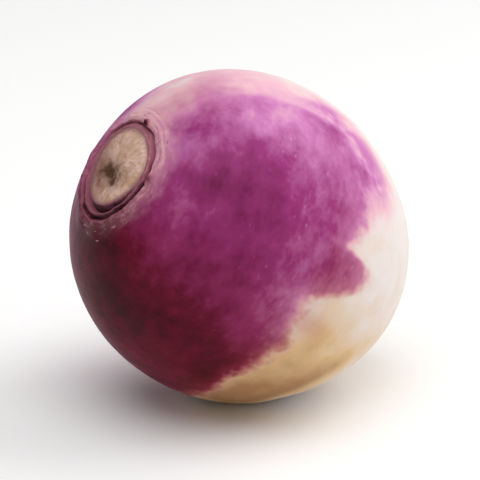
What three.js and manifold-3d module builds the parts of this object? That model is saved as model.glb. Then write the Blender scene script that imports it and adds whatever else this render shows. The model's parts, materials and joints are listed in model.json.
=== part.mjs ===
// A purple-top turnip, topped and tailed, lying on one side as it settles on a table.
// Millimetres, +Z up. The origin lies on the surface that it rests on, straight below the middle of the body.
// The turnip is shaped in a frame of its own: +Z leaves the crown along the growth axis, the widest ring
// is at z = 0, and angles round the axis start on the side of the crown that ends up lowest.

import * as THREE from "three";
import { mergeVertices } from "three/addons/utils/BufferGeometryUtils.js";
import Module from "manifold-3d";

// Swollen body, measured from its widest ring
const equatorRadius = 38;
const crownHeight = 38.4;
const crownSquareness = 2.16; // exponent of the crown half's outline, where 2 is an ellipse
const rootDepth = 43; // where the root half would close without its tail

// Trimmed taproot: the body draws in to a short stub with a flat cut end
const tailBlendRadius = 10;
const tailTopRadius = 5.2;
const tailTopDepth = 44.6;
const tailEndRadius = 4.3;
const tailEndDepth = 47.4;
const tailEdgeRound = 0.8;
const tailLean = { distance: 1.6, towards: 250 }; // how far the tail wanders off the axis, and which way

// How the body departs from round: share of the radius, number of lobes and the angle of one crest
const lobes = [
  { share: 0.012, count: 2, crest: 35 },
  { share: 0.008, count: 3, crest: 100 },
  { share: 0.004, count: 5, crest: 12 },
];

// Two shallow furrows, on opposite sides of the root half, that the side roots grow from
const furrow = { depth: 0.9, halfWidth: 9, angle: 28, startDepth: 14, fullDepth: 35 };

// Shallow dents from growing against stones: place by angle and height, size across and depth
const dents = [
  { angle: 150, height: -17, halfWidth: 13, depth: 0.8 },
  { angle: 215, height: 9, halfWidth: 11, depth: 0.7 },
  { angle: 318, height: -8, halfWidth: 14, depth: 0.9 },
  { angle: 20, height: 21, halfWidth: 9, depth: 0.5 },
];

// Crown, where the leaves were cut away: rings by radius, half width and height, where a groove is
// below zero; each is strongest at one angle and loses its fade share on the far side
const crownRings = [
  { radius: 7.9, halfWidth: 1.9, height: 0.45, strongestAt: 200, fade: 0.3 }, // swollen rim of the cut disc
  { radius: 9.9, halfWidth: 0.6, height: -1.6, strongestAt: 55, fade: 0.35 }, // groove round the disc
  { radius: 10.8, halfWidth: 0.45, height: 0.55, strongestAt: 50, fade: 0.85 }, // edge of a leaf base
  { radius: 11.6, halfWidth: 0.5, height: -1.1, strongestAt: 50, fade: 0.8 }, // groove outside that edge
  { radius: 13.7, halfWidth: 2.5, height: 0.9, strongestAt: 150, fade: 0.25 }, // corky collar
];
const ringWander = { share: 0.03, count: 3, crest: 170 }; // how far the rings stray from true circles
const collarKnobs = { height: 0.22, count: 11, crest: 8 }; // stumps of leaf bases round the collar
const pith = { offset: 1.7, angle: 15, halfWidth: 1.9, depth: 1.1 }; // the hollow heart of the disc
const buds = [
  { angle: 171, radius: 12.4, halfWidth: 1.1, height: 1.1 },
  { angle: 96, radius: 13.4, halfWidth: 1.3, height: 0.5 },
  { angle: 292, radius: 12.9, halfWidth: 1.2, height: 0.7 },
];

// How it lies: the crown's axis against the world, and how much of its underside is pressed flat
const crownAzimuth = 209.7;
const crownElevation = 33.8;
const restHeight = 38.3; // middle of the body above the surface

// Fineness of the surface
const sides = 56;
const crownBands = [
  { from: 0, to: 8.8, rows: 8 },
  { from: 8.8, to: 13.6, rows: 13 },
  { from: 13.6, to: 18.6, rows: 5 },
];
const shoulderRows = 13;
const rootRows = 16;
const tailBlendRows = 5;
const tailSideRows = 2;
const tailRoundRows = 2;

const radians = THREE.MathUtils.degToRad;

// Falls from 1 at zero to nothing a few half widths away.
function bump(distance, halfWidth) {
  return Math.exp(-((distance / halfWidth) ** 2));
}

// The angle between two directions round the axis, from 0 to 180.
function angleApart(a, b) {
  return Math.abs(THREE.MathUtils.euclideanModulo(a - b + 180, 360) - 180);
}

// Height of the crown half over a point at this distance from the axis.
function crownSurface(radius) {
  const left = 1 - (radius / equatorRadius) ** crownSquareness;
  return crownHeight * left ** (1 / crownSquareness);
}

// The outline from the cut end of the tail up to the middle of the crown.
function outline() {
  const endCentre = new THREE.Vector2(0, -tailEndDepth);
  const endEdge = new THREE.Vector2(tailEndRadius - tailEdgeRound, -tailEndDepth);
  const sideStart = new THREE.Vector2(tailEndRadius, tailEdgeRound - tailEndDepth);
  const sideEnd = new THREE.Vector2(tailTopRadius, -tailTopDepth);
  const blendDepth = rootDepth * Math.sqrt(1 - (tailBlendRadius / equatorRadius) ** 2);
  const blendEnd = new THREE.Vector2(tailBlendRadius, -blendDepth);

  const edgeCorner = new THREE.Vector2(tailEndRadius, -tailEndDepth);
  const blendCorner = new THREE.Vector2(tailTopRadius, -rootDepth);
  const edge = new THREE.QuadraticBezierCurve(endEdge, edgeCorner, sideStart);
  const side = new THREE.LineCurve(sideStart, sideEnd);
  const blend = new THREE.QuadraticBezierCurve(sideEnd, blendCorner, blendEnd);

  const points = [endCentre];
  points.push(...edge.getPoints(tailRoundRows));
  points.push(...side.getPoints(tailSideRows).slice(1));
  points.push(...blend.getPoints(tailBlendRows).slice(1));

  const blendAngle = Math.acos(tailBlendRadius / equatorRadius);
  for (let row = 1; row <= rootRows; row++) {
    const angle = blendAngle * (1 - row / rootRows);
    points.push(new THREE.Vector2(equatorRadius * Math.cos(angle), -rootDepth * Math.sin(angle)));
  }

  const crownEdge = crownBands[crownBands.length - 1].to;
  const power = 2 / crownSquareness;
  const shoulderAngle = Math.acos((crownEdge / equatorRadius) ** (1 / power));
  for (let row = 1; row < shoulderRows; row++) {
    const angle = (shoulderAngle * row) / shoulderRows;
    const radius = equatorRadius * Math.cos(angle) ** power;
    points.push(new THREE.Vector2(radius, crownHeight * Math.sin(angle) ** power));
  }

  for (const band of [...crownBands].reverse()) {
    for (let row = band.rows; row > 0; row--) {
      const radius = THREE.MathUtils.lerp(band.from, band.to, row / band.rows);
      points.push(new THREE.Vector2(radius, crownSurface(radius)));
    }
  }
  points.push(new THREE.Vector2(0, crownHeight));
  return points;
}

// Relief of the crown, added along the axis.
function crownRelief(x, y) {
  const angle = THREE.MathUtils.radToDeg(Math.atan2(y, x));
  const wander = Math.cos(radians(ringWander.count * (angle - ringWander.crest)));
  const radius = Math.hypot(x, y) * (1 + ringWander.share * wander);
  let height = 0;
  for (const ring of crownRings) {
    const strength = 1 - (ring.fade * (1 - Math.cos(radians(angle - ring.strongestAt)))) / 2;
    height += ring.height * strength * bump(radius - ring.radius, ring.halfWidth);
  }
  const collar = crownRings[crownRings.length - 1];
  const knobs = Math.cos(radians(collarKnobs.count * (angle - collarKnobs.crest)));
  height += collarKnobs.height * knobs * bump(radius - collar.radius, collar.halfWidth);
  for (const bud of buds) {
    const apartX = x - bud.radius * Math.cos(radians(bud.angle));
    const apartY = y - bud.radius * Math.sin(radians(bud.angle));
    height += bud.height * bump(Math.hypot(apartX, apartY), bud.halfWidth);
  }
  const heartX = x - pith.offset * Math.cos(radians(pith.angle));
  const heartY = y - pith.offset * Math.sin(radians(pith.angle));
  return height - pith.depth * bump(Math.hypot(heartX, heartY), pith.halfWidth);
}

// Moves a point of the true solid of revolution to where the turnip grew.
function grow(point) {
  const angle = THREE.MathUtils.radToDeg(Math.atan2(point.y, point.x));
  const radius = Math.hypot(point.x, point.y);
  const fullness = radius / equatorRadius;

  let swell = 1;
  for (const lobe of lobes) {
    swell += lobe.share * fullness * Math.cos(radians(lobe.count * (angle - lobe.crest)));
  }

  let inward = 0;
  for (const dent of dents) {
    const along = equatorRadius * radians(angleApart(angle, dent.angle)) * fullness;
    inward += dent.depth * bump(Math.hypot(along, point.z - dent.height), dent.halfWidth);
  }
  const reach = THREE.MathUtils.smoothstep(-point.z, furrow.startDepth, furrow.fullDepth);
  const fromFurrow = Math.min(angleApart(angle, furrow.angle), angleApart(angle, furrow.angle + 180));
  const nearTail = Math.min(1, radius / tailBlendRadius);
  inward += furrow.depth * reach * nearTail * bump(fromFurrow, furrow.halfWidth);

  const scale = radius > 0 ? swell - (inward * fullness) / radius : 1;
  const grown = new THREE.Vector3(point.x * scale, point.y * scale, point.z);
  grown.z -= inward * (point.z / crownHeight);
  if (point.z > 0) grown.z += crownRelief(point.x, point.y);

  const lean = tailLean.distance * THREE.MathUtils.smoothstep(-point.z, 0, tailEndDepth);
  grown.x += lean * Math.cos(radians(tailLean.towards));
  grown.y += lean * Math.sin(radians(tailLean.towards));
  return grown;
}

// A geometry as a manifold-3d solid, from its vertices alone.
function solidOf(wasm, geometry) {
  const bare = geometry.clone();
  bare.deleteAttribute("normal");
  bare.deleteAttribute("uv");
  const merged = mergeVertices(bare);
  return new wasm.Manifold(
    new wasm.Mesh({
      numProp: 3,
      vertProperties: new Float32Array(merged.getAttribute("position").array),
      triVerts: new Uint32Array(merged.index.array),
    }),
  );
}

// A manifold-3d solid as a geometry.
function geometryOf(solid) {
  const mesh = solid.getMesh();
  const geometry = new THREE.BufferGeometry();
  geometry.setAttribute("position", new THREE.BufferAttribute(mesh.vertProperties, 3));
  geometry.setIndex(new THREE.BufferAttribute(mesh.triVerts, 1));
  geometry.computeVertexNormals();
  return geometry;
}

// The whole turnip where it lies, before its resting spot is pressed flat.
function turnipGeometry() {
  const geometry = new THREE.LatheGeometry(outline(), sides);
  geometry.rotateX(Math.PI / 2);
  const position = geometry.getAttribute("position");
  const point = new THREE.Vector3();
  for (let i = 0; i < position.count; i++) {
    point.fromBufferAttribute(position, i);
    const grown = grow(point);
    position.setXYZ(i, grown.x, grown.y, grown.z);
  }
  geometry.rotateY(radians(90 - crownElevation));
  geometry.rotateZ(radians(crownAzimuth));
  geometry.translate(0, 0, restHeight);
  return geometry;
}

// Everything below the surface that the turnip rests on.
function groundGeometry() {
  const size = 4 * equatorRadius;
  const geometry = new THREE.BoxGeometry(size, size, size);
  geometry.translate(0, 0, -size / 2);
  return geometry;
}

const wasm = await Module();
wasm.setup();
const resting = solidOf(wasm, turnipGeometry()).subtract(solidOf(wasm, groundGeometry()));

const skin = new THREE.MeshStandardMaterial({ color: 0x983f78, roughness: 0.42, metalness: 0 });
const turnipRoot = new THREE.Mesh(geometryOf(resting), skin);
turnipRoot.name = "turnip_root";

const turnip = new THREE.Group();
turnip.add(turnipRoot);

export default turnip;
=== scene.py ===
from functools import reduce
import json
import math

import bpy
import numpy as np
from mathutils import Matrix, Vector, noise

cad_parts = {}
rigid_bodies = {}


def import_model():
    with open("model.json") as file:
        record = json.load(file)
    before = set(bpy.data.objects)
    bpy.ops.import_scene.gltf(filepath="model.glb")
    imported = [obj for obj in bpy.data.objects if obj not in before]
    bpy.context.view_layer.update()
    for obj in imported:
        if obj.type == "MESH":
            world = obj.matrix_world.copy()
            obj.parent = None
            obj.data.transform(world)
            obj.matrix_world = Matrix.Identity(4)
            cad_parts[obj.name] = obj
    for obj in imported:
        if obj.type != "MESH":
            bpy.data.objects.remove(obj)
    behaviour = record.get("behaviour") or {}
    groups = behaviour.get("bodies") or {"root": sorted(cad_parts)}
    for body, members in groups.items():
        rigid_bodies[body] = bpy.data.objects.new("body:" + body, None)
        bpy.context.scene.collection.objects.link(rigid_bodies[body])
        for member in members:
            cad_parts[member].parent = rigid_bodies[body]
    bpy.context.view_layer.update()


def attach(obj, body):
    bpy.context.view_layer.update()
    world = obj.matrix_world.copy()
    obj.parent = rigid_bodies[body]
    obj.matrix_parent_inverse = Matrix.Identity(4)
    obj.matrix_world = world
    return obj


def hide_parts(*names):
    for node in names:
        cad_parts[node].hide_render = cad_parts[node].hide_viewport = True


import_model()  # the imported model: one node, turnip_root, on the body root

# A purple-top turnip lying on its side. The turnip is shaped in a frame of its own, where z leaves
# the crown along the growth axis, the widest ring is at z = 0, and angles round the axis start on the
# side of the crown that ends up lowest. Its lengths are in millimetres until the mesh is made.

mm = 0.001

lie = {
    "crownAzimuth": 209.7,  # degrees, the way the crown looks
    "crownElevation": 33.8,
    "restHeight": 38.3,  # middle of the body above the table
}
turnipEuler = (0.0, math.radians(90 - lie["crownElevation"]), math.radians(lie["crownAzimuth"]))
turnipTurn = Matrix.Rotation(turnipEuler[2], 3, "Z") @ Matrix.Rotation(turnipEuler[1], 3, "Y")
turnipCentre = (0.0, 0.0, lie["restHeight"] * mm)


# Small helpers for node trees

def plug(tree, value, socket):  # a node gives its first output, and a fixed colour comes without its alpha
    if isinstance(value, bpy.types.Node):
        value = value.outputs[0]
    if isinstance(value, bpy.types.NodeSocket):
        tree.links.new(value, socket)
    elif socket.type == "RGBA":
        socket.default_value = (*value, 1.0)
    else:
        socket.default_value = value


def addNode(tree, kind, inputs=None, **settings):
    node = tree.nodes.new(kind)
    for name, value in settings.items():
        setattr(node, name, value)
    for name, value in (inputs or {}).items():
        plug(tree, value, node.inputs[name])
    return node


def calculate(tree, operation, *values, clamp=False):
    inputs = dict(enumerate(values))
    return addNode(tree, "ShaderNodeMath", inputs, operation=operation, use_clamp=clamp)


def add(tree, *values):
    return reduce(lambda total, value: calculate(tree, "ADD", total, value), values)


def multiply(tree, *values):
    return reduce(lambda product, value: calculate(tree, "MULTIPLY", product, value), values)


def swing(tree, tone, reach):  # turns a tone round 0.5 into a change to both sides of nothing
    return multiply(tree, calculate(tree, "SUBTRACT", tone, 0.5), reach)


def combine(tree, operation, *values):
    node = addNode(tree, "ShaderNodeVectorMath", dict(enumerate(values)), operation=operation)
    return node.outputs["Value" if operation == "DOT_PRODUCT" else "Vector"]


def lengthen(tree, vector, factor):
    return addNode(tree, "ShaderNodeVectorMath", {0: vector, "Scale": factor}, operation="SCALE")


def stretch(tree, place, scale):
    return addNode(tree, "ShaderNodeMapping", {"Vector": place, "Scale": scale})


def remap(tree, value, fromLow, fromHigh, toLow=0.0, toHigh=1.0, smooth=True):
    inputs = {"Value": value, "From Min": fromLow, "From Max": fromHigh, "To Min": toLow, "To Max": toHigh}
    kind = "SMOOTHSTEP" if smooth else "LINEAR"
    return addNode(tree, "ShaderNodeMapRange", inputs, interpolation_type=kind, clamp=True)


def blendColours(tree, factor, first, second, mode="MIX"):
    inputs = {0: factor, 6: first, 7: second}
    return addNode(tree, "ShaderNodeMix", inputs, data_type="RGBA", blend_type=mode).outputs[2]


def colourSteps(tree, value, steps):
    node = addNode(tree, "ShaderNodeValToRGB", {"Fac": value})
    ramp = node.color_ramp
    while len(ramp.elements) < len(steps):
        ramp.elements.new(1.0)
    for element, (place, colour) in zip(ramp.elements, steps):
        element.position = place
        element.color = (*colour, 1.0)
    return node


def readAttribute(tree, name, output="Fac"):
    return addNode(tree, "ShaderNodeAttribute", attribute_name=name).outputs[output]


def newGroup(name, kind, inputs, outputs):
    tree = bpy.data.node_groups.new(name, kind)
    for label, socketKind, *value in inputs:
        socket = tree.interface.new_socket(label, in_out="INPUT", socket_type="NodeSocket" + socketKind)
        if value:
            socket.default_value = value[0]
    for label, socketKind in outputs:
        tree.interface.new_socket(label, in_out="OUTPUT", socket_type="NodeSocket" + socketKind)
    return tree, tree.nodes.new("NodeGroupInput").outputs, tree.nodes.new("NodeGroupOutput").inputs


# Shader groups that more than one finish uses

def makeMottleGroup():  # cloudy blotches with finer ones inside, about 0.5 on average
    tree, given, result = newGroup(
        "mottle", "ShaderNodeTree",
        [("Place", "Vector"), ("Size", "Float", 0.004), ("Contrast", "Float", 1.0), ("Shift", "Vector")],
        [("Tone", "Float")])
    place = combine(tree, "ADD", given["Place"], given["Shift"])
    scale = calculate(tree, "DIVIDE", 1.0, given["Size"])
    blotches = addNode(tree, "ShaderNodeTexNoise",
                       {"Vector": place, "Scale": scale, "Detail": 2.5, "Roughness": 0.5, "Distortion": 0.15})
    contrast = swing(tree, blotches, given["Contrast"])
    plug(tree, calculate(tree, "ADD", contrast, 0.5, clamp=True), result["Tone"])
    return tree


def makeGrainGroup():  # fine grain as a height and a tone, stretched along one axis by the place given
    tree, given, result = newGroup(
        "grain", "ShaderNodeTree",
        [("Place", "Vector"), ("Size", "Float", 0.0006), ("Roughness", "Float", 0.6)],
        [("Height", "Float"), ("Tone", "Float")])
    scale = calculate(tree, "DIVIDE", 1.0, given["Size"])
    fine = addNode(tree, "ShaderNodeTexNoise",
                   {"Vector": given["Place"], "Scale": scale, "Detail": 5.0, "Roughness": given["Roughness"]})
    wideScale = multiply(tree, scale, 0.23)
    wide = addNode(tree, "ShaderNodeTexNoise",
                   {"Vector": given["Place"], "Scale": wideScale, "Detail": 2.0})
    plug(tree, calculate(tree, "MULTIPLY_ADD", wide, 0.6, multiply(tree, fine, 0.4)), result["Height"])
    plug(tree, remap(tree, fine, 0.35, 0.65), result["Tone"])
    return tree


mottleGroup = makeMottleGroup()
grainGroup = makeGrainGroup()


def mottle(tree, place, size, contrast, shift):
    inputs = {"Place": place, "Size": size, "Contrast": contrast, "Shift": shift}
    return addNode(tree, "ShaderNodeGroup", inputs, node_tree=mottleGroup)


def grain(tree, place, size):
    inputs = {"Place": place, "Size": size, "Roughness": 0.6}
    return addNode(tree, "ShaderNodeGroup", inputs, node_tree=grainGroup).outputs


def makeCrownMarksGroup():  # leaf bases, and broken dark grooves of painted shade, painted over a colour
    tree, given, result = newGroup(
        "crown_marks", "ShaderNodeTree",
        [("Colour", "Color"), ("Place", "Vector"), ("Leaf Base", "Float", 0.0), ("Crevice", "Float", 0.0),
         ("Leaf Base Colour", "Color"), ("Dry Colour", "Color"), ("Crevice Colour", "Color")],
        [("Colour", "Color")])
    streaks = mottle(tree, stretch(tree, given["Place"], (4.0, 4.0, 14.0)), 1.0, 2.2, (3.0, 1.0, 6.0))
    threads = mottle(tree, stretch(tree, given["Place"], (9.0, 9.0, 40.0)), 1.0, 2.4, (8.0, 2.0, 1.0))
    # pale threads over the leaf bases: partly dried fibres, partly a painted highlight on the ridge
    driedAndHighlit = remap(tree, threads, 0.35, 1.0, 0.0, 0.7)
    leaf = blendColours(tree, driedAndHighlit, given["Leaf Base Colour"], given["Dry Colour"])
    covered = multiply(tree, given["Leaf Base"], remap(tree, streaks, 0.0, 0.7, 0.45, 1.0))
    colour = blendColours(tree, covered, given["Colour"], leaf)
    # the edges of a groove are the leaf base's colour and its middle is dark with painted shade
    depth = multiply(tree, given["Crevice"], remap(tree, streaks, 0.1, 0.9, 1.0, 0.7))
    rim = remap(tree, depth, 0.0, 0.5, 0.0, 0.8)
    middle = remap(tree, depth, 0.25, 1.0)
    colour = blendColours(tree, rim, colour, given["Leaf Base Colour"])
    colour = blendColours(tree, middle, colour, given["Crevice Colour"])
    plug(tree, colour, result["Colour"])
    return tree


crownMarksGroup = makeCrownMarksGroup()
print("shader groups ready")


# Finishes

def newFinish(name):  # its place is given in the turnip's own frame
    material = bpy.data.materials.new(name)
    material.use_nodes = True
    tree = material.node_tree
    coordinates = addNode(tree, "ShaderNodeTexCoord").outputs["Object"]
    place = addNode(tree, "ShaderNodeMapping",
                    {"Vector": coordinates, "Location": turnipCentre, "Rotation": turnipEuler},
                    vector_type="TEXTURE")
    return material, tree, tree.nodes["Principled BSDF"], place


def dressSurface(tree, surface, inputs):
    for name, value in inputs.items():
        plug(tree, value, surface.inputs[name])


def bumpNormal(tree, height, strength, distance):
    inputs = {"Height": height, "Strength": strength, "Distance": distance}
    return addNode(tree, "ShaderNodeBump", inputs)


crownMarks = {
    "leafBase": (0.35, 0.095, 0.15),
    # the pale threads' colour: partly dried fibres, partly a painted highlight
    "dry": (0.66, 0.40, 0.40),
    # the grooves' dark colour is painted shade
    "crevice": (0.055, 0.006, 0.018),
}


def markCrown(tree, colour, ringPlace):
    inputs = {
        "Colour": colour, "Place": ringPlace, "Leaf Base": readAttribute(tree, "leafBase"),
        "Crevice": readAttribute(tree, "crevice"), "Leaf Base Colour": crownMarks["leafBase"],
        "Dry Colour": crownMarks["dry"], "Crevice Colour": crownMarks["crevice"]}
    return addNode(tree, "ShaderNodeGroup", inputs, node_tree=crownMarksGroup)


skinFinish = {
    "creamWhite": (0.80, 0.72, 0.685),
    "yellow": (0.72, 0.49, 0.25),
    # dark brown-yellow: painted contact shade low on the root, over its yellowing
    "ochreShade": (0.30, 0.12, 0.045),
    "tan": (0.40, 0.26, 0.15),
    "browning": (0.74, 0.60, 0.43),  # what yellow skin, and the painted contact shade low on the root, do to the purple over it
    # how the colour deepens, on the upper side and on the low side, which is redder and darker: partly its
    # own hue, partly painted shade
    "cool": [(0.18, (0.81, 0.48, 0.57)), (0.38, (0.59, 0.205, 0.465)), (0.60, (0.33, 0.040, 0.20)),
             (0.82, (0.155, 0.009, 0.064)), (1.0, (0.06, 0.003, 0.02))],
    "warm": [(0.18, (0.68, 0.37, 0.35)), (0.38, (0.48, 0.145, 0.19)), (0.60, (0.26, 0.022, 0.070)),
             (0.82, (0.13, 0.004, 0.018)), (1.0, (0.05, 0.002, 0.007))],
    "cork": (0.65, 0.35, 0.375),
    "edgeWander": 3.6,  # millimetres that the colour's edge wanders
    "edgeFineWander": 3.4,
    "banding": 1.8,  # how much narrower marks are along the root than round it
    # the purple's clouds: size, contrast, shift, strength, and whether they are banded
    "clouds": [(0.013, 1.4, 1.1, 0.20, False), (0.0050, 1.8, 1.9, 0.15, True),
               (0.0026, 2.4, 9.1, 0.055, False), (0.0013, 1.8, 2.3, 0.05, True)],
    "poreScale": 330.0,
    "poreTone": -0.10,
    "grainSize": 0.6 * mm,
    "grainDepth": 0.2 * mm,
    "roughness": 0.42,
    "specular": 0.07,
    "subsurface": 0.12,
}


def makeSkin():
    values = skinFinish
    material, tree, surface, place = newFinish("turnip_skin")
    banded = stretch(tree, place, (1.0, 1.0, values["banding"]))

    def clouds(size, contrast, shift, source=place):
        return mottle(tree, source, size, contrast, (shift, shift * 0.7, -shift))

    # The colour's edge wanders, thins out inside and fades into a blush beyond
    wander = swing(tree, clouds(0.010, 1.5, 0.3), values["edgeWander"])
    fineWander = swing(tree, clouds(0.0030, 1.5, 0.7), values["edgeFineWander"])
    edge = add(tree, readAttribute(tree, "pigmentEdge"), wander, fineWander)
    softness = readAttribute(tree, "edgeSoftness")
    covered = remap(tree, calculate(tree, "DIVIDE", edge, softness), -1.0, 1.0)
    thinner = remap(tree, edge, 0.0, multiply(tree, softness, 3.3), 0.66, 1.0)
    yellowingAndShade = readAttribute(tree, "yellowingAndShade")
    fringe = multiply(tree, remap(tree, edge, -7.0, 1.0, 0.0, 0.08),
                      remap(tree, yellowingAndShade, 0.1, 0.5, 1.0, 0.6))
    patchy = remap(tree, clouds(0.006, 1.3, 5.3), 0.0, 0.6, 0.25, 1.0)
    halo = calculate(tree, "MULTIPLY_ADD", readAttribute(tree, "blush"), patchy, fringe)

    pores = addNode(tree, "ShaderNodeTexVoronoi", {"Vector": banded, "Scale": values["poreScale"]})
    chosen = addNode(tree, "ShaderNodeSeparateColor", {"Color": pores.outputs["Color"]})
    pore = multiply(tree, remap(tree, pores, 0.20, 0.08), remap(tree, chosen, 0.55, 0.95))

    tone = multiply(tree, pore, values["poreTone"])
    for size, contrast, shift, strength, isBanded in values["clouds"]:
        cloud = clouds(size, contrast, shift, banded if isBanded else place)
        tone = add(tree, tone, swing(tree, cloud, strength))
    depth = add(tree, tone, readAttribute(tree, "pigmentShadeAndSheen"))
    density = calculate(tree, "ADD", multiply(tree, covered, thinner, depth), halo, clamp=True)

    # White half: yellow patches that deepen low on the root into a brown-yellow painted contact shade, with
    # tan lines and pores towards the tail
    yellowedAndShaded = calculate(tree, "ADD", swing(tree, clouds(0.008, 2.0, 3.1), 0.34), yellowingAndShade, clamp=True)
    yellow = remap(tree, yellowedAndShaded, 0.0, 0.6, smooth=False)
    root = blendColours(tree, yellow, values["creamWhite"], values["yellow"])
    # painted contact shade where the yellowing runs highest
    root = blendColours(tree, remap(tree, yellowedAndShaded, 0.45, 1.25), root, values["ochreShade"])
    lined = stretch(tree, place, (1.0, 1.0, 10.0))
    lines = multiply(tree, remap(tree, clouds(0.0050, 2.6, 3.7, lined), 0.5, 1.0),
                     remap(tree, clouds(0.0075, 2.6, 7.9), 0.25, 0.9, 0.15, 1.0))
    marks = calculate(tree, "MAXIMUM", lines, multiply(tree, pore, 0.9))
    root = blendColours(tree, multiply(tree, marks, readAttribute(tree, "stain")), root, values["tan"])

    cool = colourSteps(tree, density, values["cool"])
    warm = colourSteps(tree, density, values["warm"])
    purple = blendColours(tree, readAttribute(tree, "warmth"), cool, warm)
    skin = blendColours(tree, remap(tree, density, 0.0, 0.20), root, purple)
    browned = multiply(tree, remap(tree, yellowingAndShade, 0.04, 0.42), remap(tree, density, 0.01, 0.2, 0.0, 0.95))
    skin = blendColours(tree, browned, skin, values["browning"], "MULTIPLY")

    # Cork of the collar: pale streaks that follow the rings, and cracks along the radius
    ringPlace = readAttribute(tree, "ringPlace", "Vector")
    streaks = clouds(1.0, 2.0, 4.3, stretch(tree, ringPlace, (6.0, 6.0, 11.0)))
    cracks = clouds(1.0, 2.6, 6.3, stretch(tree, ringPlace, (26.0, 26.0, 5.0)))
    broken = multiply(tree, remap(tree, streaks, 0.3, 0.9), remap(tree, cracks, 0.0, 0.5, 0.5, 1.0))
    collar = readAttribute(tree, "collar")
    corky = calculate(tree, "MULTIPLY_ADD", broken, 0.55, calculate(tree, "MULTIPLY_ADD", collar, 0.40, 0.10))
    corky = multiply(tree, collar, corky)
    skin = markCrown(tree, blendColours(tree, corky, skin, values["cork"]), ringPlace)

    fine = grain(tree, banded, values["grainSize"])
    rough = calculate(tree, "MULTIPLY_ADD", corky, 0.3, values["roughness"])
    dressSurface(tree, surface, {
        "Base Color": skin, "Roughness": add(tree, rough, swing(tree, fine["Tone"], 0.08)),
        "Specular IOR Level": values["specular"], "Subsurface Weight": values["subsurface"],
        "Subsurface Radius": (1.0, 0.5, 0.4), "Subsurface Scale": 2.0 * mm,
        "Normal": bumpNormal(tree, fine["Height"], 0.25, values["grainDepth"])})
    return material


scarFinish = {
    "tan": (0.60, 0.37, 0.23),
    "pale": (0.79, 0.54, 0.44),
    "orange": (0.42, 0.20, 0.10),
    "pinkBrown": (0.27, 0.115, 0.125),
    "rust": (0.30, 0.10, 0.06),
    "pith": (0.098, 0.040, 0.016),
}


def makeScar():
    values = scarFinish
    material, tree, surface, place = newFinish("crown_scar")
    ringPlace = readAttribute(tree, "ringPlace", "Vector")
    patchy = mottle(tree, place, 0.004, 1.8, (5.0, 1.0, 0.0))
    spotty = mottle(tree, place, 0.0012, 2.6, (2.0, 7.0, 0.0))
    fibres = grain(tree, stretch(tree, ringPlace, (7.0, 7.0, 4.0)), 0.6)
    disc = blendColours(tree, remap(tree, patchy, 0.2, 0.8), values["tan"], values["pale"])
    rusted = multiply(tree, readAttribute(tree, "rust"), remap(tree, spotty, 0.1, 0.7, 0.3, 0.8))
    layers = [  # painted one over the other
        (multiply(tree, fibres["Tone"], 0.30), "pinkBrown"),
        (multiply(tree, remap(tree, spotty, 0.6, 0.95), 0.45), "orange"),
        (readAttribute(tree, "discShade"), "pinkBrown"),
        (rusted, "rust"),
        (readAttribute(tree, "pith"), "pith"),
    ]
    for share, colour in layers:
        disc = blendColours(tree, share, disc, values[colour])
    dressSurface(tree, surface, {
        "Base Color": markCrown(tree, disc, ringPlace), "Roughness": 0.78, "Specular IOR Level": 0.25,
        "Normal": bumpNormal(tree, fibres["Height"], 0.5, 0.3 * mm)})
    return material


tailFinish = {
    "flesh": (0.72, 0.62, 0.45),
    "ring": (0.42, 0.28, 0.15),
    "dry": (0.55, 0.42, 0.26),
}


def makeTailCut():
    values = tailFinish
    material, tree, surface, place = newFinish("tail_cut")
    patchy = mottle(tree, place, 0.002, 2.0, (8.0, 0.0, 2.0))
    fibres = grain(tree, combine(tree, "MULTIPLY", place, (1.0, 1.0, 0.0)), 0.0007)
    colour = blendColours(tree, patchy, values["flesh"], values["dry"])
    ring = remap(tree, readAttribute(tree, "tailRing"), 0.0, 1.0)
    colour = blendColours(tree, multiply(tree, ring, 0.8), colour, values["ring"])
    dressSurface(tree, surface, {
        "Base Color": colour, "Roughness": 0.7, "Specular IOR Level": 0.25,
        "Normal": bumpNormal(tree, fibres["Height"], 0.5, 0.25 * mm)})
    return material


skin = makeSkin()
scar = makeScar()
tailCut = makeTailCut()
print("finishes ready")


# The body: one closed surface from the cut end of the tail to the middle of the crown

finishOrder = ("Skin", "Scar", "Cut")

bodyForm = {
    "equatorRadius": 38,
    "crownHeight": 38.4,
    "crownSquareness": 2.16,  # 2 would be an ellipse
    "rootDepth": 43,
    "tailBlendRadius": 10,
    "tailTopRadius": 5.2,
    "tailTopDepth": 44.6,
    "tailEndRadius": 4.3,
    "tailEndDepth": 47.4,
    "tailEdgeRound": 0.8,
    "tailLean": (1.6, 250),  # distance, and the way it leans
    "lobes": [(0.012, 2, 35), (0.008, 3, 100), (0.004, 5, 12)],  # share of the radius, count, crest
    "furrow": {"depth": 0.9, "halfWidth": 9, "angle": 28, "startDepth": 14, "fullDepth": 35},
    "dents": [(150, -17, 13, 0.8), (215, 9, 11, 0.7), (318, -8, 14, 0.9), (20, 21, 9, 0.5)],
    "flatSoftness": 0.25,  # how softly the resting spot rolls into the side
    "sides": 320,
    "rows": {"cutEnd": 14, "edge": 6, "tail": 12, "blend": 20, "root": 86, "shoulder": 56,
             "collar": 24, "rings": 52, "disc": 38},
}

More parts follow.
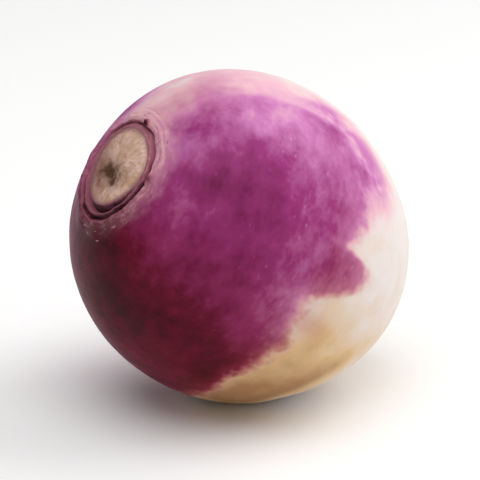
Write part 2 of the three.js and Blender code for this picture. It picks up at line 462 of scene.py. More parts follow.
crownForm = {
    # radius, half width, height, where it is strongest, share lost on the far side
    "rings": [(7.9, 1.9, 0.45, 200, 0.3), (9.9, 0.75, -1.6, 25, 0.9), (10.8, 0.45, 0.55, 50, 0.85),
              (11.6, 0.45, -1.1, 50, 0.55), (12.0, 0.5, -0.8, 175, 0.9), (13.7, 2.5, 0.9, 150, 0.25)],
    "wander": (0.03, 3, 170),
    "knobs": (0.22, 11, 8),
    "pith": (1.7, 15, 2.1, 0.8),  # offset, angle, half width, depth
    "buds": [(171, 12.4, 1.1, 1.1), (96, 13.4, 1.3, 0.5), (292, 12.9, 1.2, 0.7)],
    "scarEdge": 11.5,
    "collarEdge": 18.6,
    "ringsFrom": 14.0,
    "ringsTo": 8.8,
    # finer things that only the finished surface has; a crack's sizes are drawn between two numbers
    "scars": {"angle": 171, "turn": 137.5, "radius": 12.3, "step": 0.38, "count": 9, "halfArc": 30,
              "height": 0.2},
    "cracks": {"count": 40, "start": (11.8, 13.2), "length": (1.5, 3.6), "depth": (0.08, 0.26),
               "halfWidth": (1.0, 1.7)},
    "bundles": {"count": 13, "radius": 6.2, "depth": 0.16, "halfWidth": 0.45, "angleJitter": 7,
                "radiusJitter": 0.5},
    "fibreHeight": 0.16,
    "flakeHeight": 0.26,  # rough cork on the rings
    "heart": {"centre": (1.4, -0.9), "squeeze": (1.15, 0.62), "depth": 0.25},  # the dark, shrunken pith
    "rust": {"centre": (1.2, -1.2), "radius": 3.9, "wander": 1.2, "halfWidth": 0.7, "towards": 318,
             "halfArc": 62},
    "seed": 11,
    "discShift": (0.7, 140),  # how far the disc's colours lie off centre, and which way
    "corkShift": (1.2, 165),  # the same for the cork of the collar
    "corkRadii": (18.2, 13.2),  # where that cork begins, and where it is whole
    # painted shade in the crown's grooves: radius, half width, strength, where strongest, share lost on the
    # far side
    "crevices": [(9.95, 0.8, 1.9, 42, 0.9), (11.7, 0.7, 1.8, 30, 0.75), (12.0, 0.5, 0.95, 192, 1.0),
                 (11.1, 0.8, 0.45, 184, 1.0), (10.8, 0.8, 0.62, 345, 0.95)],
    "leafBases": [(10.8, 0.65, 0.85, 80, 0.5), (11.2, 0.85, 0.95, 188, 0.85)],
}

pigmentForm = {
    # angle, and height of the colour's edge above the widest ring
    "edge": [(6, -4), (26, -1.5), (39, -0.3), (48, 0.4), (57, -0.8), (65, -1.8), (72, 0.2), (77, 2.2),
             (81, 3.4), (84.5, 1.2), (87, -2.6), (90, -6.6), (93.5, -10), (97, -11.8), (100, -11.2),
             (102.5, -9.5), (104, -3.2), (109, -3.5), (116, -5), (126, -4), (135, -2.5), (141, -0.5),
             (147, 3), (151, 10), (155, 20), (161, 28), (170, 31), (188, 28), (205, 30), (222, 24),
             (236, 10), (250, -5), (262, -9), (276, -3), (288, -6), (301, -12), (315, -5), (332, -9),
             (345, -13), (356, -5)],
    "softness": 3.0,
    "softer": [(158, 20, 4.0), (200, 34, 3.0), (300, 30, 1.2), (45, 24, -1.3)],  # angle, half width, more
    # angle, height, half width and strength of the pink blush beyond the edge
    "blushes": [(168, 28, 10, 0.13), (190, 22, 13, 0.14), (158, 16, 10, 0.18), (155, 4, 7, 0.43),
                (128, -9, 6, 0.20), (137, -8, 6, 0.24), (144, -4, 7, 0.22), (152, -7, 6, 0.15),
                (142, -14, 6, 0.12), (76, -4, 5, 0.10), (225, 6, 12, 0.14), (285, -12, 8, 0.08)],
    "depth": 0.60,
    # angle, height, half width and change of each darker or paler patch; the darker ones on the low side,
    # from 350 to 45 degrees, are painted shade, and the broad pale ones near 127 and 141 degrees are a
    # painted sheen
    "patches": [(109, 29, 5, 0.12), (102, 18, 5, 0.06), (40, 2, 8, 0.10), (205, 32, 9, -0.25),
                (192, 31, 9, -0.34), (177, 36, 5, 0.06), (185, 27, 8, -0.30), (165, 31, 9, -0.13),
                (152, 18, 9, -0.27), (149, 11, 6, -0.07), (148, 27, 8, -0.17), (134, 31, 8, -0.05),
                (120, 14, 9, -0.06), (141, 8, 13, -0.165), (127, 1, 9, -0.08), (109, 9, 7, -0.06),
                (96, 13, 6, -0.04), (95, -4, 8, -0.06), (98, -10, 5, -0.13), (90, 4, 9, -0.12),
                (77, 9, 7, -0.05), (64, 9, 8, -0.13), (64, 29, 8, -0.07), (78, 31, 7, -0.05),
                (90, 35, 6, -0.06), (102, 34, 6, -0.08), (121, 34, 5, -0.17), (45, 16, 18, 0.17),
                (15, 33, 11, 0.18), (350, 20, 22, 0.16), (300, 15, 18, 0.05), (250, 18, 14, -0.12)],
    "warmSide": (25, 62),  # angle and half width of the redder, darker side, partly its own hue and partly painted shade
    "warmBelt": (80, 32, 0.85),  # angle, half width and strength, on the root's side of the widest ring
    "warmPatches": [(177, 33, 9, 0.38), (165, 32, 8, 0.15)],  # smaller redder places, four numbers as above
    # the same four numbers for yellow patches of the white half; the strongest, low on the root, are painted
    # contact shade
    "yellowAndShadePatches": [(86, -8, 8, 0.15), (79, -5, 5, 0.21), (75, -14, 8, 0.24), (66, -7, 8, 0.32),
                      (52, -4, 10, 0.40), (38, -3, 10, 0.42), (24, -4, 11, 0.38), (24, -9, 7, 0.42),
                      (36, -12, 7, 0.58), (48, -16, 7, 0.60), (59, -20, 7, 0.46), (70, -22, 7, 0.26),
                      (8, -14, 10, 0.30), (300, -20, 12, 0.25), (215, -22, 14, 0.15)],
}

zoneForm = {
    # depths below the widest ring between which each thing sets in, going down the root
    "rootSide": (-5, 5),
    "beltSide": (-9, 1),
    "furrowHairs": (18, 36),
    "yellow": (20, 44),
    "wrinkles": (26, 42),
    "tailFlecks": (34, 42),
    "tailHairs": (39, 43),
    # heights above the table between which each sets in, so that nothing stands out where the root rests
    "reliefClearance": (0.3, 2.5),
    "fleckClearance": (1, 3),
    "hairClearance": (4, 8),
    "hairRadius": 4.6,  # no hairs on the tail's cut
    "collarFlecks": (14.4, 1.6),  # radius and half width
}


def bump(distance, halfWidth):
    return np.exp(-(distance / halfWidth) ** 2)


def angleApart(a, b):
    return np.abs((a - b + 180) % 360 - 180)


def smoothStep(value, low, high):
    share = np.clip((value - low) / (high - low), 0, 1)
    return share * share * (3 - 2 * share)


def wave(angle, count, crest):
    return np.cos(np.radians(count * (angle - crest)))


def direction(angle):
    return np.cos(np.radians(angle)), np.sin(np.radians(angle))


def sideShare(angle, strongest, fade):  # 1 at its strongest, less towards the far side
    return 1 - fade * (1 - wave(angle, 1, strongest)) / 2


def distanceFrom(x, y, angle, radius):  # from a place on the crown, given by angle and radius
    return np.hypot(x - radius * math.cos(math.radians(angle)), y - radius * math.sin(math.radians(angle)))


def noiseAt(points, size, shift):
    offset = Vector((shift, shift * 1.7, -shift))
    return np.array([noise.noise(Vector(point) + offset) for point in points / size])


def crownSurface(radius):
    form = bodyForm
    left = 1 - (radius / form["equatorRadius"]) ** form["crownSquareness"]
    return form["crownHeight"] * left ** (1 / form["crownSquareness"])


def curvePoints(first, corner, last, count):
    share = np.linspace(0, 1, count + 1)[1:, None]
    first, corner, last = np.array(first), np.array(corner), np.array(last)
    return (1 - share) ** 2 * first + 2 * share * (1 - share) * corner + share ** 2 * last


def outlineRows():  # radius and height of each row, and how many rows are the tail's cut
    form, rows = bodyForm, bodyForm["rows"]
    endDepth, endRadius, edgeRound = form["tailEndDepth"], form["tailEndRadius"], form["tailEdgeRound"]
    faceRadius = endRadius - edgeRound
    cut = np.c_[np.linspace(0, faceRadius, rows["cutEnd"] + 1)[1:], np.full(rows["cutEnd"], -endDepth)]
    sideStart = (endRadius, edgeRound - endDepth)
    sideEnd = (form["tailTopRadius"], -form["tailTopDepth"])
    blendRadius, equator, depth = form["tailBlendRadius"], form["equatorRadius"], form["rootDepth"]
    blendEnd = (blendRadius, -depth * math.sqrt(1 - (blendRadius / equator) ** 2))
    edge = curvePoints((faceRadius, -endDepth), (endRadius, -endDepth), sideStart, rows["edge"])
    middle = (np.array(sideStart) + np.array(sideEnd)) / 2
    side = curvePoints(sideStart, middle, sideEnd, rows["tail"])
    blend = curvePoints(sideEnd, (form["tailTopRadius"], -depth), blendEnd, rows["blend"])
    turn = math.acos(blendRadius / equator) * (1 - np.arange(1, rows["root"] + 1) / rows["root"])
    root = np.c_[equator * np.cos(turn), -depth * np.sin(turn)]
    power = 2 / form["crownSquareness"]
    reach = math.acos((crownForm["collarEdge"] / equator) ** (1 / power))
    turn = reach * np.arange(1, rows["shoulder"]) / rows["shoulder"]
    shoulder = np.c_[equator * np.cos(turn) ** power, form["crownHeight"] * np.sin(turn) ** power]
    radii = np.r_[
        np.linspace(crownForm["collarEdge"], crownForm["ringsFrom"], rows["collar"] + 1)[:-1],
        np.linspace(crownForm["ringsFrom"], crownForm["ringsTo"], rows["rings"] + 1)[:-1],
        np.linspace(crownForm["ringsTo"], 0, rows["disc"] + 1)[:-1]]
    crown = np.c_[radii, crownSurface(radii)]
    return np.vstack([cut, edge, side, blend, root, shoulder, crown]), rows["cutEnd"] + rows["edge"] // 2


def crownRelief(x, y):  # height added along the axis, and the rings' own radius
    form = crownForm
    angle = np.degrees(np.arctan2(y, x))
    share, count, crest = form["wander"]
    radius = np.hypot(x, y) * (1 + share * wave(angle, count, crest))
    height = np.zeros_like(x)
    for place, halfWidth, rise, strongest, fade in form["rings"]:
        strength = sideShare(angle, strongest, fade) ** (2 if rise < 0 else 1)
        height += rise * strength * bump(radius - place, halfWidth)
    collarRadius, collarWidth = form["rings"][-1][:2]
    rise, count, crest = form["knobs"]
    height += rise * wave(angle, count, crest) * bump(radius - collarRadius, collarWidth)
    for place, budRadius, halfWidth, rise in form["buds"]:
        height += rise * bump(distanceFrom(x, y, place, budRadius), halfWidth)
    offset, place, halfWidth, depth = form["pith"]
    height -= depth * bump(distanceFrom(x, y, place, offset), halfWidth)
    return height, radius


def crownDetail(x, y, radius, angle):  # height of the fine relief, and shares of the pith's and rust's colour
    form = crownForm
    draw = np.random.default_rng(form["seed"])
    height = np.zeros_like(x)
    scars = form["scars"]
    for number in range(scars["count"]):
        place = scars["angle"] + scars["turn"] * number
        fromScar = radius - scars["radius"] - scars["step"] * number
        step = bump(fromScar, 0.25) - 0.7 * bump(fromScar - 0.45, 0.3)  # a ridge with a dip outside it
        height += scars["height"] * bump(angleApart(angle, place), scars["halfArc"]) * step
    cracks = form["cracks"]
    for _ in range(cracks["count"]):
        place = draw.uniform(0, 360)
        inner, length = draw.uniform(*cracks["start"]), draw.uniform(*cracks["length"])
        depth, halfWidth = draw.uniform(*cracks["depth"]), draw.uniform(*cracks["halfWidth"])
        window = smoothStep(radius, inner, inner + 0.4) * smoothStep(-radius, -inner - length, -inner - 0.4)
        height -= depth * bump(angleApart(angle, place), halfWidth) * window
    bundles = form["bundles"]
    for number in range(bundles["count"]):
        place = 360 * number / bundles["count"] + bundles["angleJitter"] * draw.uniform(-1, 1)
        bundleRadius = bundles["radius"] + bundles["radiusJitter"] * draw.uniform(-1, 1)
        height -= bundles["depth"] * bump(distanceFrom(x, y, place, bundleRadius), bundles["halfWidth"])

    turnX, turnY = direction(angle)
    flat = np.c_[x, y, np.zeros_like(x)]
    onRings = smoothStep(radius, 8.8, 10.0) * smoothStep(-radius, -14.5, -12.5)
    flakes = noiseAt(np.c_[turnX * 5, turnY * 5, radius * 2.2], 1.0, 14.0)
    height += form["flakeHeight"] * onRings * flakes + 0.12 * onRings * noiseAt(flat, 0.7, 27.0)
    onDisc = smoothStep(-radius, -9.9, -8.7)
    fibres = noiseAt(np.c_[turnX * 7, turnY * 7, radius * 0.45], 1.0, 3.0)
    height += form["fibreHeight"] * onDisc * (fibres + 0.5 * noiseAt(flat, 0.9, 9.0))

    heart = form["heart"]
    fromHeart = np.hypot(*((np.c_[x, y] - heart["centre"]) * heart["squeeze"]).T)
    ragged = fromHeart + 1.9 * noiseAt(flat, 2.2, 21.0) + 0.7 * noiseAt(flat, 0.8, 5.0)
    pith = 0.40 * smoothStep(-ragged, -6.4, -2.4) + 0.60 * smoothStep(-ragged, -3.2, -1.0)
    height -= heart["depth"] * pith * (1 + 0.8 * noiseAt(flat, 0.8, 33.0))
    arc = form["rust"]
    fromX, fromY = (np.c_[x, y] - arc["centre"]).T
    fromArc = np.hypot(fromX, fromY) - arc["radius"] - arc["wander"] * noiseAt(flat, 2.0, 41.0)
    apart = angleApart(np.degrees(np.arctan2(fromY, fromX)), arc["towards"])
    return height, pith, bump(fromArc, arc["halfWidth"]) * bump(apart, arc["halfArc"])


def crownTones(x, y, radius, angle):  # where the grooves' painted shade and the leaf bases' own colours show
    form = crownForm
    crevice = np.zeros_like(x)
    leafBase = np.zeros_like(x)
    offCentre, towards = form["discShift"]
    shifted = radius - offCentre * wave(angle, 1, towards) * smoothStep(-radius, -11.3, -9.9)
    for tone, rings in ((crevice, form["crevices"]), (leafBase, form["leafBases"])):
        for place, halfWidth, strength, strongest, fade in rings:
            share = strength * sideShare(angle, strongest, fade) ** 2
            np.maximum(tone, share * bump(shifted - place, halfWidth), out=tone)
    for place, budRadius, halfWidth, rise in form["buds"]:
        shade = 1.5 * rise * bump(distanceFrom(x, y, place, budRadius), 0.8 * halfWidth)
        np.maximum(crevice, shade, out=crevice)
    return np.minimum(crevice, 1), leafBase


def pigmentLine(angle):  # height of the colour's edge round the root, with its corners rounded
    places, heights = zip(*pigmentForm["edge"])
    fine = np.arange(0, 360, 0.5)
    line = np.interp(fine, places, heights, period=360)
    reach = 4
    window = np.hanning(2 * reach + 1)
    line = np.convolve(np.r_[line[-reach:], line, line[:reach]], window / window.sum(), "valid")
    return np.interp(angle, fine, line, period=360)


def patchTotal(patches, angle, height, fullness):
    total = np.zeros_like(angle)
    for place, patchHeight, halfWidth, change in patches:
        along = bodyForm["equatorRadius"] * np.radians(angleApart(angle, place)) * fullness
        total += change * bump(np.hypot(along, height - patchHeight), halfWidth)
    return total


def growBody(radius, height, angle):  # where each point of the true solid of revolution has grown to
    form = bodyForm
    fullness = radius / form["equatorRadius"]
    swell = 1 + sum(share * fullness * wave(angle, count, crest) for share, count, crest in form["lobes"])
    furrow = form["furrow"]
    fromFurrow = np.minimum(angleApart(angle, furrow["angle"]), angleApart(angle, furrow["angle"] + 180))
    furrowShare = (smoothStep(-height, furrow["startDepth"], furrow["fullDepth"])
                   * bump(fromFurrow, furrow["halfWidth"]))
    nearTail = np.minimum(1, radius / form["tailBlendRadius"])
    inward = patchTotal(form["dents"], angle, height, fullness) + furrow["depth"] * nearTail * furrowShare
    scale = swell - inward * fullness / np.maximum(radius, 1e-6)
    flatX, flatY = (radius * part for part in direction(angle))
    relief, ringRadius = crownRelief(flatX, flatY)
    distance, towards = form["tailLean"]
    lean = distance * smoothStep(-height, 0, form["tailEndDepth"])
    x = flatX * scale + lean * math.cos(math.radians(towards))
    y = flatY * scale + lean * math.sin(math.radians(towards))
    z = height - inward * height / form["crownHeight"] + np.where(height > 0, relief, 0)
    return np.c_[x, y, z], flatX, flatY, ringRadius, furrowShare


def surfaceFacts(height, radius, angle, ringRadius, furrowShare, clearance):  # what the finishes read
    form = pigmentForm
    fullness = radius / bodyForm["equatorRadius"]

    def below(zone):
        return smoothStep(-height, *zoneForm[zone])

    def clearOf(zone):
        return smoothStep(clearance, *zoneForm[zone])

    warmAngle, warmWidth = form["warmSide"]
    beltAngle, beltWidth, beltStrength = form["warmBelt"]
    belt = beltStrength * bump(angleApart(angle, beltAngle), beltWidth) * below("beltSide")
    # fine roots grow along the furrows and round the tail, and flecks on the collar too
    hairs = below("furrowHairs") * furrowShare ** 3 + 0.35 * below("tailHairs")
    fleckRadius, fleckWidth = zoneForm["collarFlecks"]
    onCollar = np.where(height > 0, bump(ringRadius - fleckRadius, fleckWidth), 0)
    onCollar = onCollar * (0.6 + 0.4 * wave(angle, 1, 110))
    flecks = np.clip(0.30 * onCollar + 0.10 * furrowShare + 0.12 * below("tailFlecks"), 0, 1)
    offCentre, towards = crownForm["corkShift"]
    corkStart, corkWhole = crownForm["corkRadii"]
    inside = smoothStep(offCentre * wave(angle, 1, towards) - ringRadius, -corkStart, -corkWhole)
    # painted shade on the crown's disc: darker towards the groove at its rim, and on its left side
    discRim = smoothStep(ringRadius - 0.9 * wave(angle, 1, 140), 7.9, 10.0)
    discLeft = bump(angleApart(angle, 295), 70) * smoothStep(ringRadius, 1.5, 8)
    return {
        "pigmentEdge": height - pigmentLine(angle),
        "edgeSoftness": form["softness"] + sum(more * bump(angleApart(angle, place), halfWidth)
                                               for place, halfWidth, more in form["softer"]),
        "pigmentShadeAndSheen": form["depth"] + patchTotal(form["patches"], angle, height, fullness),
        "blush": patchTotal(form["blushes"], angle, height, fullness),
        "warmth": np.maximum.reduce([
            bump(angleApart(angle, warmAngle), warmWidth) * np.minimum(1, 2 * fullness), belt,
            patchTotal(form["warmPatches"], angle, height, fullness)]),
        "yellowingAndShade": np.clip(
            patchTotal(form["yellowAndShadePatches"], angle, height, fullness) + 0.35 * below("yellow"), 0, 1),
        "collar": np.where(height > 0, inside, 0) * (0.68 + 0.32 * wave(angle, 1, 145)),
        "discShade": np.clip(0.75 * discRim + 0.8 * discLeft, 0, 1),
        "stain": np.clip(0.10 + 0.45 * below("yellow") ** 2 + 0.30 * furrowShare, 0, 1),
        "tailRing": np.where(height < -40, bump(radius - 3.0, 0.35) + 0.6 * bump(radius, 0.5), 0),
        "wrinkleZone": below("wrinkles") + 0.15,
        "rootSide": below("rootSide"),
        "freeSurface": clearOf("reliefClearance"),
        "hairZone": hairs * (radius > zoneForm["hairRadius"]) * clearOf("hairClearance"),
        "fleckZone": flecks * clearOf("fleckClearance"),
    }


def makeShell(points, rowCount, sides):  # rows of points with a point at each end, as one closed mesh
    side = np.arange(sides)
    first = 1 + sides * np.arange(rowCount - 1)[:, None] + side
    after = first - side + (side + 1) % sides
    quads = np.stack([first, after, after + sides, first + sides], -1).reshape(-1, 4)
    top = len(points) - 1
    lastRow = top - sides
    start = [(0, 1 + (place + 1) % sides, 1 + place) for place in range(sides)]
    end = [(top, lastRow + place, lastRow + (place + 1) % sides) for place in range(sides)]
    mesh = bpy.data.meshes.new("turnip_body")
    mesh.from_pydata((points * mm).tolist(), [], start + quads.tolist() + end)
    mesh.update()
    return mesh


def makeBody():
    rows, cutRows = outlineRows()
    sides = bodyForm["sides"]
    radius = np.r_[0, np.repeat(rows[:, 0], sides), 0]
    height = np.r_[-bodyForm["tailEndDepth"], np.repeat(rows[:, 1], sides), bodyForm["crownHeight"]]
    angle = np.r_[0, np.tile(360 * np.arange(sides) / sides, len(rows)), 0]
    points, flatX, flatY, ringRadius, furrowShare = growBody(radius, height, angle)

    onCrown = (height > 0) & (ringRadius < crownForm["collarEdge"])
    crown = (flatX[onCrown], flatY[onCrown], ringRadius[onCrown], angle[onCrown])
    detail, pith, rust, crevice, leafBase = np.zeros((5, len(points)))
    detail[onCrown], pith[onCrown], rust[onCrown] = crownDetail(*crown)
    crevice[onCrown], leafBase[onCrown] = crownTones(*crown)
    points[:, 2] += detail

    # Into the world, pressed flat where it rests
    world = points @ np.array(turnipTurn).T + (0, 0, lie["restHeight"])
    soft = bodyForm["flatSoftness"]
    level = world[:, 2]
    world[:, 2] = np.where(level > 4 * soft, level, soft * np.log1p(np.exp(level / soft)))
    mesh = makeShell(world, len(rows), sides)

    crownRow = 1 + np.argmax((rows[:, 1] > 0) & (rows[:, 0] < crownForm["scarEdge"]))
    finish = np.full(len(mesh.polygons), finishOrder.index("Skin"))
    finish[:sides * cutRows] = finishOrder.index("Cut")
    finish[sides * (crownRow - 1):] = finishOrder.index("Scar")
    facts = surfaceFacts(height, radius, angle, ringRadius, furrowShare, world[:, 2])
    facts.update(crevice=crevice, leafBase=leafBase, pith=pith, rust=rust)
    for name, data in facts.items():
        mesh.attributes.new(name, "FLOAT", "POINT").data.foreach_set("value", data.astype(np.float32))
    ringPlace = np.c_[*direction(angle), ringRadius / 10]
    mesh.attributes.new("ringPlace", "FLOAT_VECTOR", "POINT").data.foreach_set(
        "vector", ringPlace.astype(np.float32).ravel())
    mesh.attributes.new("finish", "INT", "FACE").data.foreach_set("value", finish.astype(np.int32))
    body = bpy.data.objects.new("turnip_body", mesh)
    bpy.context.collection.objects.link(body)
    return body


# Geometry Nodes: the skin's own relief

reliefValues = {
    "Lump Size": 7.0 * mm,
    "Lump Height": 0.22 * mm,
    "Wrinkle Size": 1.9 * mm,
    "Wrinkle Height": 0.28 * mm,
    "Centre": turnipCentre,
    "Turn": turnipEuler,
}


def readNamed(tree, name, kind="FLOAT"):
    return addNode(tree, "GeometryNodeInputNamedAttribute", {"Name": name}, data_type=kind)


def makeReliefTree():
    tree, given, result = newGroup(
        "skinRelief", "GeometryNodeTree",
        [("Geometry", "Geometry"), ("Lump Size", "Float", 0.007), ("Lump Height", "Float", 0.0002),
         ("Wrinkle Size", "Float", 0.002), ("Wrinkle Height", "Float", 0.0002), ("Centre", "Vector"),
         ("Turn", "Rotation"), ("Skin", "Material"), ("Scar", "Material"), ("Cut", "Material")],
        [("Geometry", "Geometry")])
    position = addNode(tree, "GeometryNodeInputPosition")
    normal = addNode(tree, "GeometryNodeInputNormal")
    back = addNode(tree, "FunctionNodeInvertRotation", {"Rotation": given["Turn"]})
    fromCentre = combine(tree, "SUBTRACT", position, given["Centre"])
    local = addNode(tree, "FunctionNodeRotateVector", {"Vector": fromCentre, "Rotation": back})

    def noiseSwing(place, size, height):
        scale = calculate(tree, "DIVIDE", 1.0, size)
        texture = addNode(tree, "ShaderNodeTexNoise", {"Vector": place, "Scale": scale, "Detail": 2.0})
        return swing(tree, texture, height)

    lump = noiseSwing(local, given["Lump Size"], given["Lump Height"])
    squeezed = combine(tree, "MULTIPLY", local, (0.22, 0.22, 1.0))
    wrinkleHeight = multiply(tree, given["Wrinkle Height"], readNamed(tree, "wrinkleZone"))
    wrinkle = noiseSwing(squeezed, given["Wrinkle Size"], wrinkleHeight)
    rise = multiply(tree, add(tree, lump, wrinkle), readNamed(tree, "freeSurface"))
    moved = addNode(tree, "GeometryNodeSetPosition",
                    {"Geometry": given["Geometry"], "Offset": lengthen(tree, normal, rise)})
    finish = readNamed(tree, "finish", "INT")
    dressed = addNode(tree, "GeometryNodeRealizeInstances", {"Geometry": moved})
    for number, name in enumerate(finishOrder):
        chosen = addNode(tree, "FunctionNodeCompare", {"A": finish, "B": number},
                         data_type="INT", operation="EQUAL")
        dressed = addNode(tree, "GeometryNodeSetMaterial",
                          {"Geometry": dressed, "Selection": chosen, "Material": given[name]})
    plug(tree, dressed, result["Geometry"])
    return tree


def applyTree(piece, tree, values):
    modifier = piece.modifiers.new(tree.name, "NODES")
    modifier.node_group = tree
    for item in tree.interface.items_tree:
        if item.item_type == "SOCKET" and item.in_out == "INPUT" and item.name in values:
            modifier[item.identifier] = values[item.name]
    depsgraph = bpy.context.evaluated_depsgraph_get()
    grown = piece.evaluated_get(depsgraph)
    made = bpy.data.meshes.new_from_object(grown, preserve_all_data_layers=True, depsgraph=depsgraph)
    piece.modifiers.remove(modifier)
    piece.data = made
    made.name = piece.name
    made.polygons.foreach_set("use_smooth", [True] * len(made.polygons))
    return piece


body = makeBody()
applyTree(body, makeReliefTree(), {**reliefValues, "Skin": skin, "Scar": scar, "Cut": tailCut})
print("turnip body:", len(body.data.polygons), "faces")


# Geometry Nodes: fine roots and corky flecks

hairFinish = {
    "colours": ((0.34, 0.21, 0.11), (0.62, 0.48, 0.31)),  # dark and pale
}

fleckFinish = {
    "onCrown": ((0.26, 0.10, 0.13), (0.48, 0.25, 0.29)),  # dark and pale, here too
    "onRoot": ((0.36, 0.22, 0.12), (0.62, 0.47, 0.31)),
}


def makeHairFinish():
    material, tree, surface, place = newFinish("root_hair")
    tone = mottle(tree, place, 0.002, 2.0, (1.0, 4.0, 0.0))
    colour = blendColours(tree, tone, *hairFinish["colours"])
    dressSurface(tree, surface, {"Base Color": colour, "Roughness": 0.7})
    return material


def makeFleckFinish():
    material, tree, surface, place = newFinish("cork_fleck")
    tone = mottle(tree, place, 0.003, 2.2, (6.0, 2.0, 1.0))
    onCrown = blendColours(tree, tone, *fleckFinish["onCrown"])
    onRoot = blendColours(tree, tone, *fleckFinish["onRoot"])
    colour = blendColours(tree, readAttribute(tree, "rootSide"), onCrown, onRoot)
    dressSurface(tree, surface, {"Base Color": colour, "Roughness": 0.75})
    return material


def newScatter(name, zone, inputs):  # a tree with points strewn over its mesh where the zone is high
    tree, given, result = newGroup(
        name, "GeometryNodeTree",
        [("Geometry", "Geometry"), ("Density", "Float", 1.0), ("Spacing", "Float", 0.001),
         ("Seed", "Int", 1), ("Finish", "Material"), *inputs],
        [("Geometry", "Geometry")])
    spots = addNode(tree, "GeometryNodeDistributePointsOnFaces",
                    {"Mesh": given["Geometry"], "Distance Min": given["Spacing"],
                     "Density Max": given["Density"], "Density Factor": readNamed(tree, zone),
                     "Seed": given["Seed"]},
                    distribute_method="POISSON")
    return tree, given, result, spots.outputs


def placeOn(tree, spots, instance, rotation, size):
    placed = addNode(tree, "GeometryNodeInstanceOnPoints",
                     {"Points": spots["Points"], "Instance": instance, "Rotation": rotation, "Scale": size})
    return addNode(tree, "GeometryNodeRealizeInstances", {"Geometry": placed})


def endTree(tree, given, result, geometry):
    real = addNode(tree, "GeometryNodeRealizeInstances", {"Geometry": geometry})
    dressed = addNode(tree, "GeometryNodeSetMaterial", {"Geometry": real, "Material": given["Finish"]})
    plug(tree, dressed, result["Geometry"])
    return tree


def drawSize(tree, given, low, high):  # a random share of the full size for each spot
    inputs = {2: low, 3: high, "Seed": given["Seed"]}
    return addNode(tree, "FunctionNodeRandomValue", inputs, data_type="FLOAT").outputs[1]


rootHairValues = {
    "Density": 60000.0,
    "Spacing": 1.3 * mm,
    "Length": 4.6 * mm,
    "Thickness": 0.11 * mm,
    "Bend": 4.5 * mm,
    "Seed": 4,
}


def makeRootHairTree():
    tree, given, result, spots = newScatter(
        "rootHairs", "hairZone",
        [("Length", "Float", 0.005), ("Thickness", "Float", 0.0002), ("Bend", "Float", 0.002)])
    straight = addNode(tree, "GeometryNodeCurvePrimitiveLine", {"End": (0.0, 0.0, 1.0)})
    stem = addNode(tree, "GeometryNodeResampleCurve", {"Curve": straight, "Count": 9})
    length = multiply(tree, drawSize(tree, given, 0.3, 1.0), given["Length"])
    hairs = placeOn(tree, spots, stem, spots["Rotation"], lengthen(tree, (1.0, 1.0, 1.0), length))
    along = addNode(tree, "GeometryNodeSplineParameter")
    position = addNode(tree, "GeometryNodeInputPosition")
    drift = addNode(tree, "ShaderNodeTexNoise", {"Vector": position, "Scale": 190.0, "Detail": 1.0})
    sway = combine(tree, "SUBTRACT", drift.outputs["Color"], (0.5, 0.5, 0.5))
    reach = multiply(tree, along, 2.0, given["Bend"])
    bent = addNode(tree, "GeometryNodeSetPosition",
                   {"Geometry": hairs, "Offset": lengthen(tree, sway, reach)})
    taper = remap(tree, along, 0.0, 1.0, 1.0, 0.25, smooth=False)
    profile = addNode(tree, "GeometryNodeCurvePrimitiveCircle",
                      {"Resolution": 6, "Radius": given["Thickness"]})
    tubes = addNode(tree, "GeometryNodeCurveToMesh",
                    {"Curve": bent, "Profile Curve": profile, "Scale": taper, "Fill Caps": True})
    return endTree(tree, given, result, tubes)


fleckValues = {
    "Density": 900000.0,
    "Spacing": 0.75 * mm,
    "Size": (0.60 * mm, 0.15 * mm, 0.05 * mm),
    "Growth Axis": tuple(turnipTurn @ Vector((0, 0, 1))),
    "Seed": 9,
}


def makeFleckTree():
    tree, given, result, spots = newScatter(
        "corkFlecks", "fleckZone", [("Size", "Vector"), ("Growth Axis", "Vector")])
    speck = addNode(tree, "GeometryNodeMeshIcoSphere", {"Radius": 1.0, "Subdivisions": 2})
    around = combine(tree, "CROSS_PRODUCT", given["Growth Axis"], spots["Normal"])
    turned = addNode(tree, "FunctionNodeAlignRotationToVector",
                     {"Rotation": spots["Rotation"], "Vector": around}, axis="X", pivot_axis="Z")
    size = lengthen(tree, given["Size"], drawSize(tree, given, 0.35, 1.25))
    return endTree(tree, given, result, placeOn(tree, spots, speck, turned, size))


def growOn(name, tree, values):  # a piece grown over a copy of the body's surface
    piece = bpy.data.objects.new(name, body.data.copy())
    bpy.context.collection.objects.link(piece)
    applyTree(piece, tree, values)
    print(name + ":", len(piece.data.polygons), "faces")
    return piece


rootHairs = growOn("root_hairs", makeRootHairTree(), {**rootHairValues, "Finish": makeHairFinish()})
corkFlecks = growOn("cork_flecks", makeFleckTree(), {**fleckValues, "Finish": makeFleckFinish()})


def settle(piece):  # rides on the one body
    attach(piece, "root")


for piece in (body, rootHairs, corkFlecks):
    settle(piece)
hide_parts("turnip_root")
print("pieces settled")


# Table, light and camera

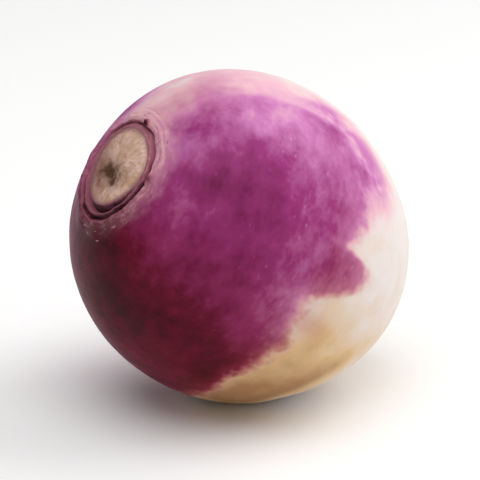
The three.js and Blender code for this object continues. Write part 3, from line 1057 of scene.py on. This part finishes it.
stageValues = {
    "tableSize": 6.0,
    "tableColour": (0.95, 0.95, 0.95),
    "cameraElevation": 18,
    "cameraDistance": 0.62,
    "lens": 200,
    "aim": (0.0005, 0.0, 0.0375),
    # the room's own light is brightest towards one side
    "brightSide": (0.75, 0.15, 0.65),
    "roomFade": (-0.7, 1.0),  # from away from that side to straight towards it
    "roomLight": (0.08, 0.70),  # strength at both ends of that fade
    # place, size, power in watts, colour
    "lights": {
        "right_back": ((0.80, 0.28, 0.72), 0.9, 4.6, (1.0, 0.99, 0.98)),
        "overhead": ((-0.10, -0.30, 1.1), 1.2, 7.0, (1.0, 0.99, 0.98)),
    },
}


def makeStage():
    values = stageValues
    bpy.ops.mesh.primitive_plane_add(size=values["tableSize"])
    table = bpy.context.object
    table.name = "table"
    material = bpy.data.materials.new("table")
    material.use_nodes = True
    surface = material.node_tree.nodes["Principled BSDF"]
    surface.inputs["Base Color"].default_value = (*values["tableColour"], 1.0)
    surface.inputs["Roughness"].default_value = 0.8
    table.data.materials.append(material)

    world = bpy.data.worlds.new("studio")
    world.use_nodes = True
    tree = world.node_tree
    towards = addNode(tree, "ShaderNodeTexCoord").outputs["Generated"]
    side = combine(tree, "DOT_PRODUCT", towards, tuple(Vector(values["brightSide"]).normalized()))
    strength = remap(tree, side, *values["roomFade"], *values["roomLight"])
    plug(tree, strength, tree.nodes["Background"].inputs["Strength"])
    tree.nodes["Background"].inputs["Color"].default_value = (1.0, 1.0, 1.0, 1.0)
    bpy.context.scene.world = world

    aim = Vector(values["aim"])
    for name, (place, size, power, colour) in values["lights"].items():
        light = bpy.data.lights.new(name, "AREA")
        light.shape = "DISK"
        light.size = size
        light.energy = power
        light.color = colour
        lamp = bpy.data.objects.new(name, light)
        lamp.location = place
        lamp.rotation_euler = (Vector(place) - aim).to_track_quat("Z", "Y").to_euler()
        bpy.context.collection.objects.link(lamp)

    camera = bpy.data.objects.new("camera", bpy.data.cameras.new("camera"))
    camera.data.lens = values["lens"]
    elevation = math.radians(values["cameraElevation"])
    back = Vector((0, -math.cos(elevation), math.sin(elevation)))
    camera.location = aim + back * values["cameraDistance"]
    camera.rotation_euler = back.to_track_quat("Z", "Y").to_euler()
    camera.data.clip_start = 0.01
    bpy.context.collection.objects.link(camera)
    bpy.context.scene.camera = camera
    bpy.context.scene.view_settings.view_transform = "Standard"


makeStage()
print("stage ready")
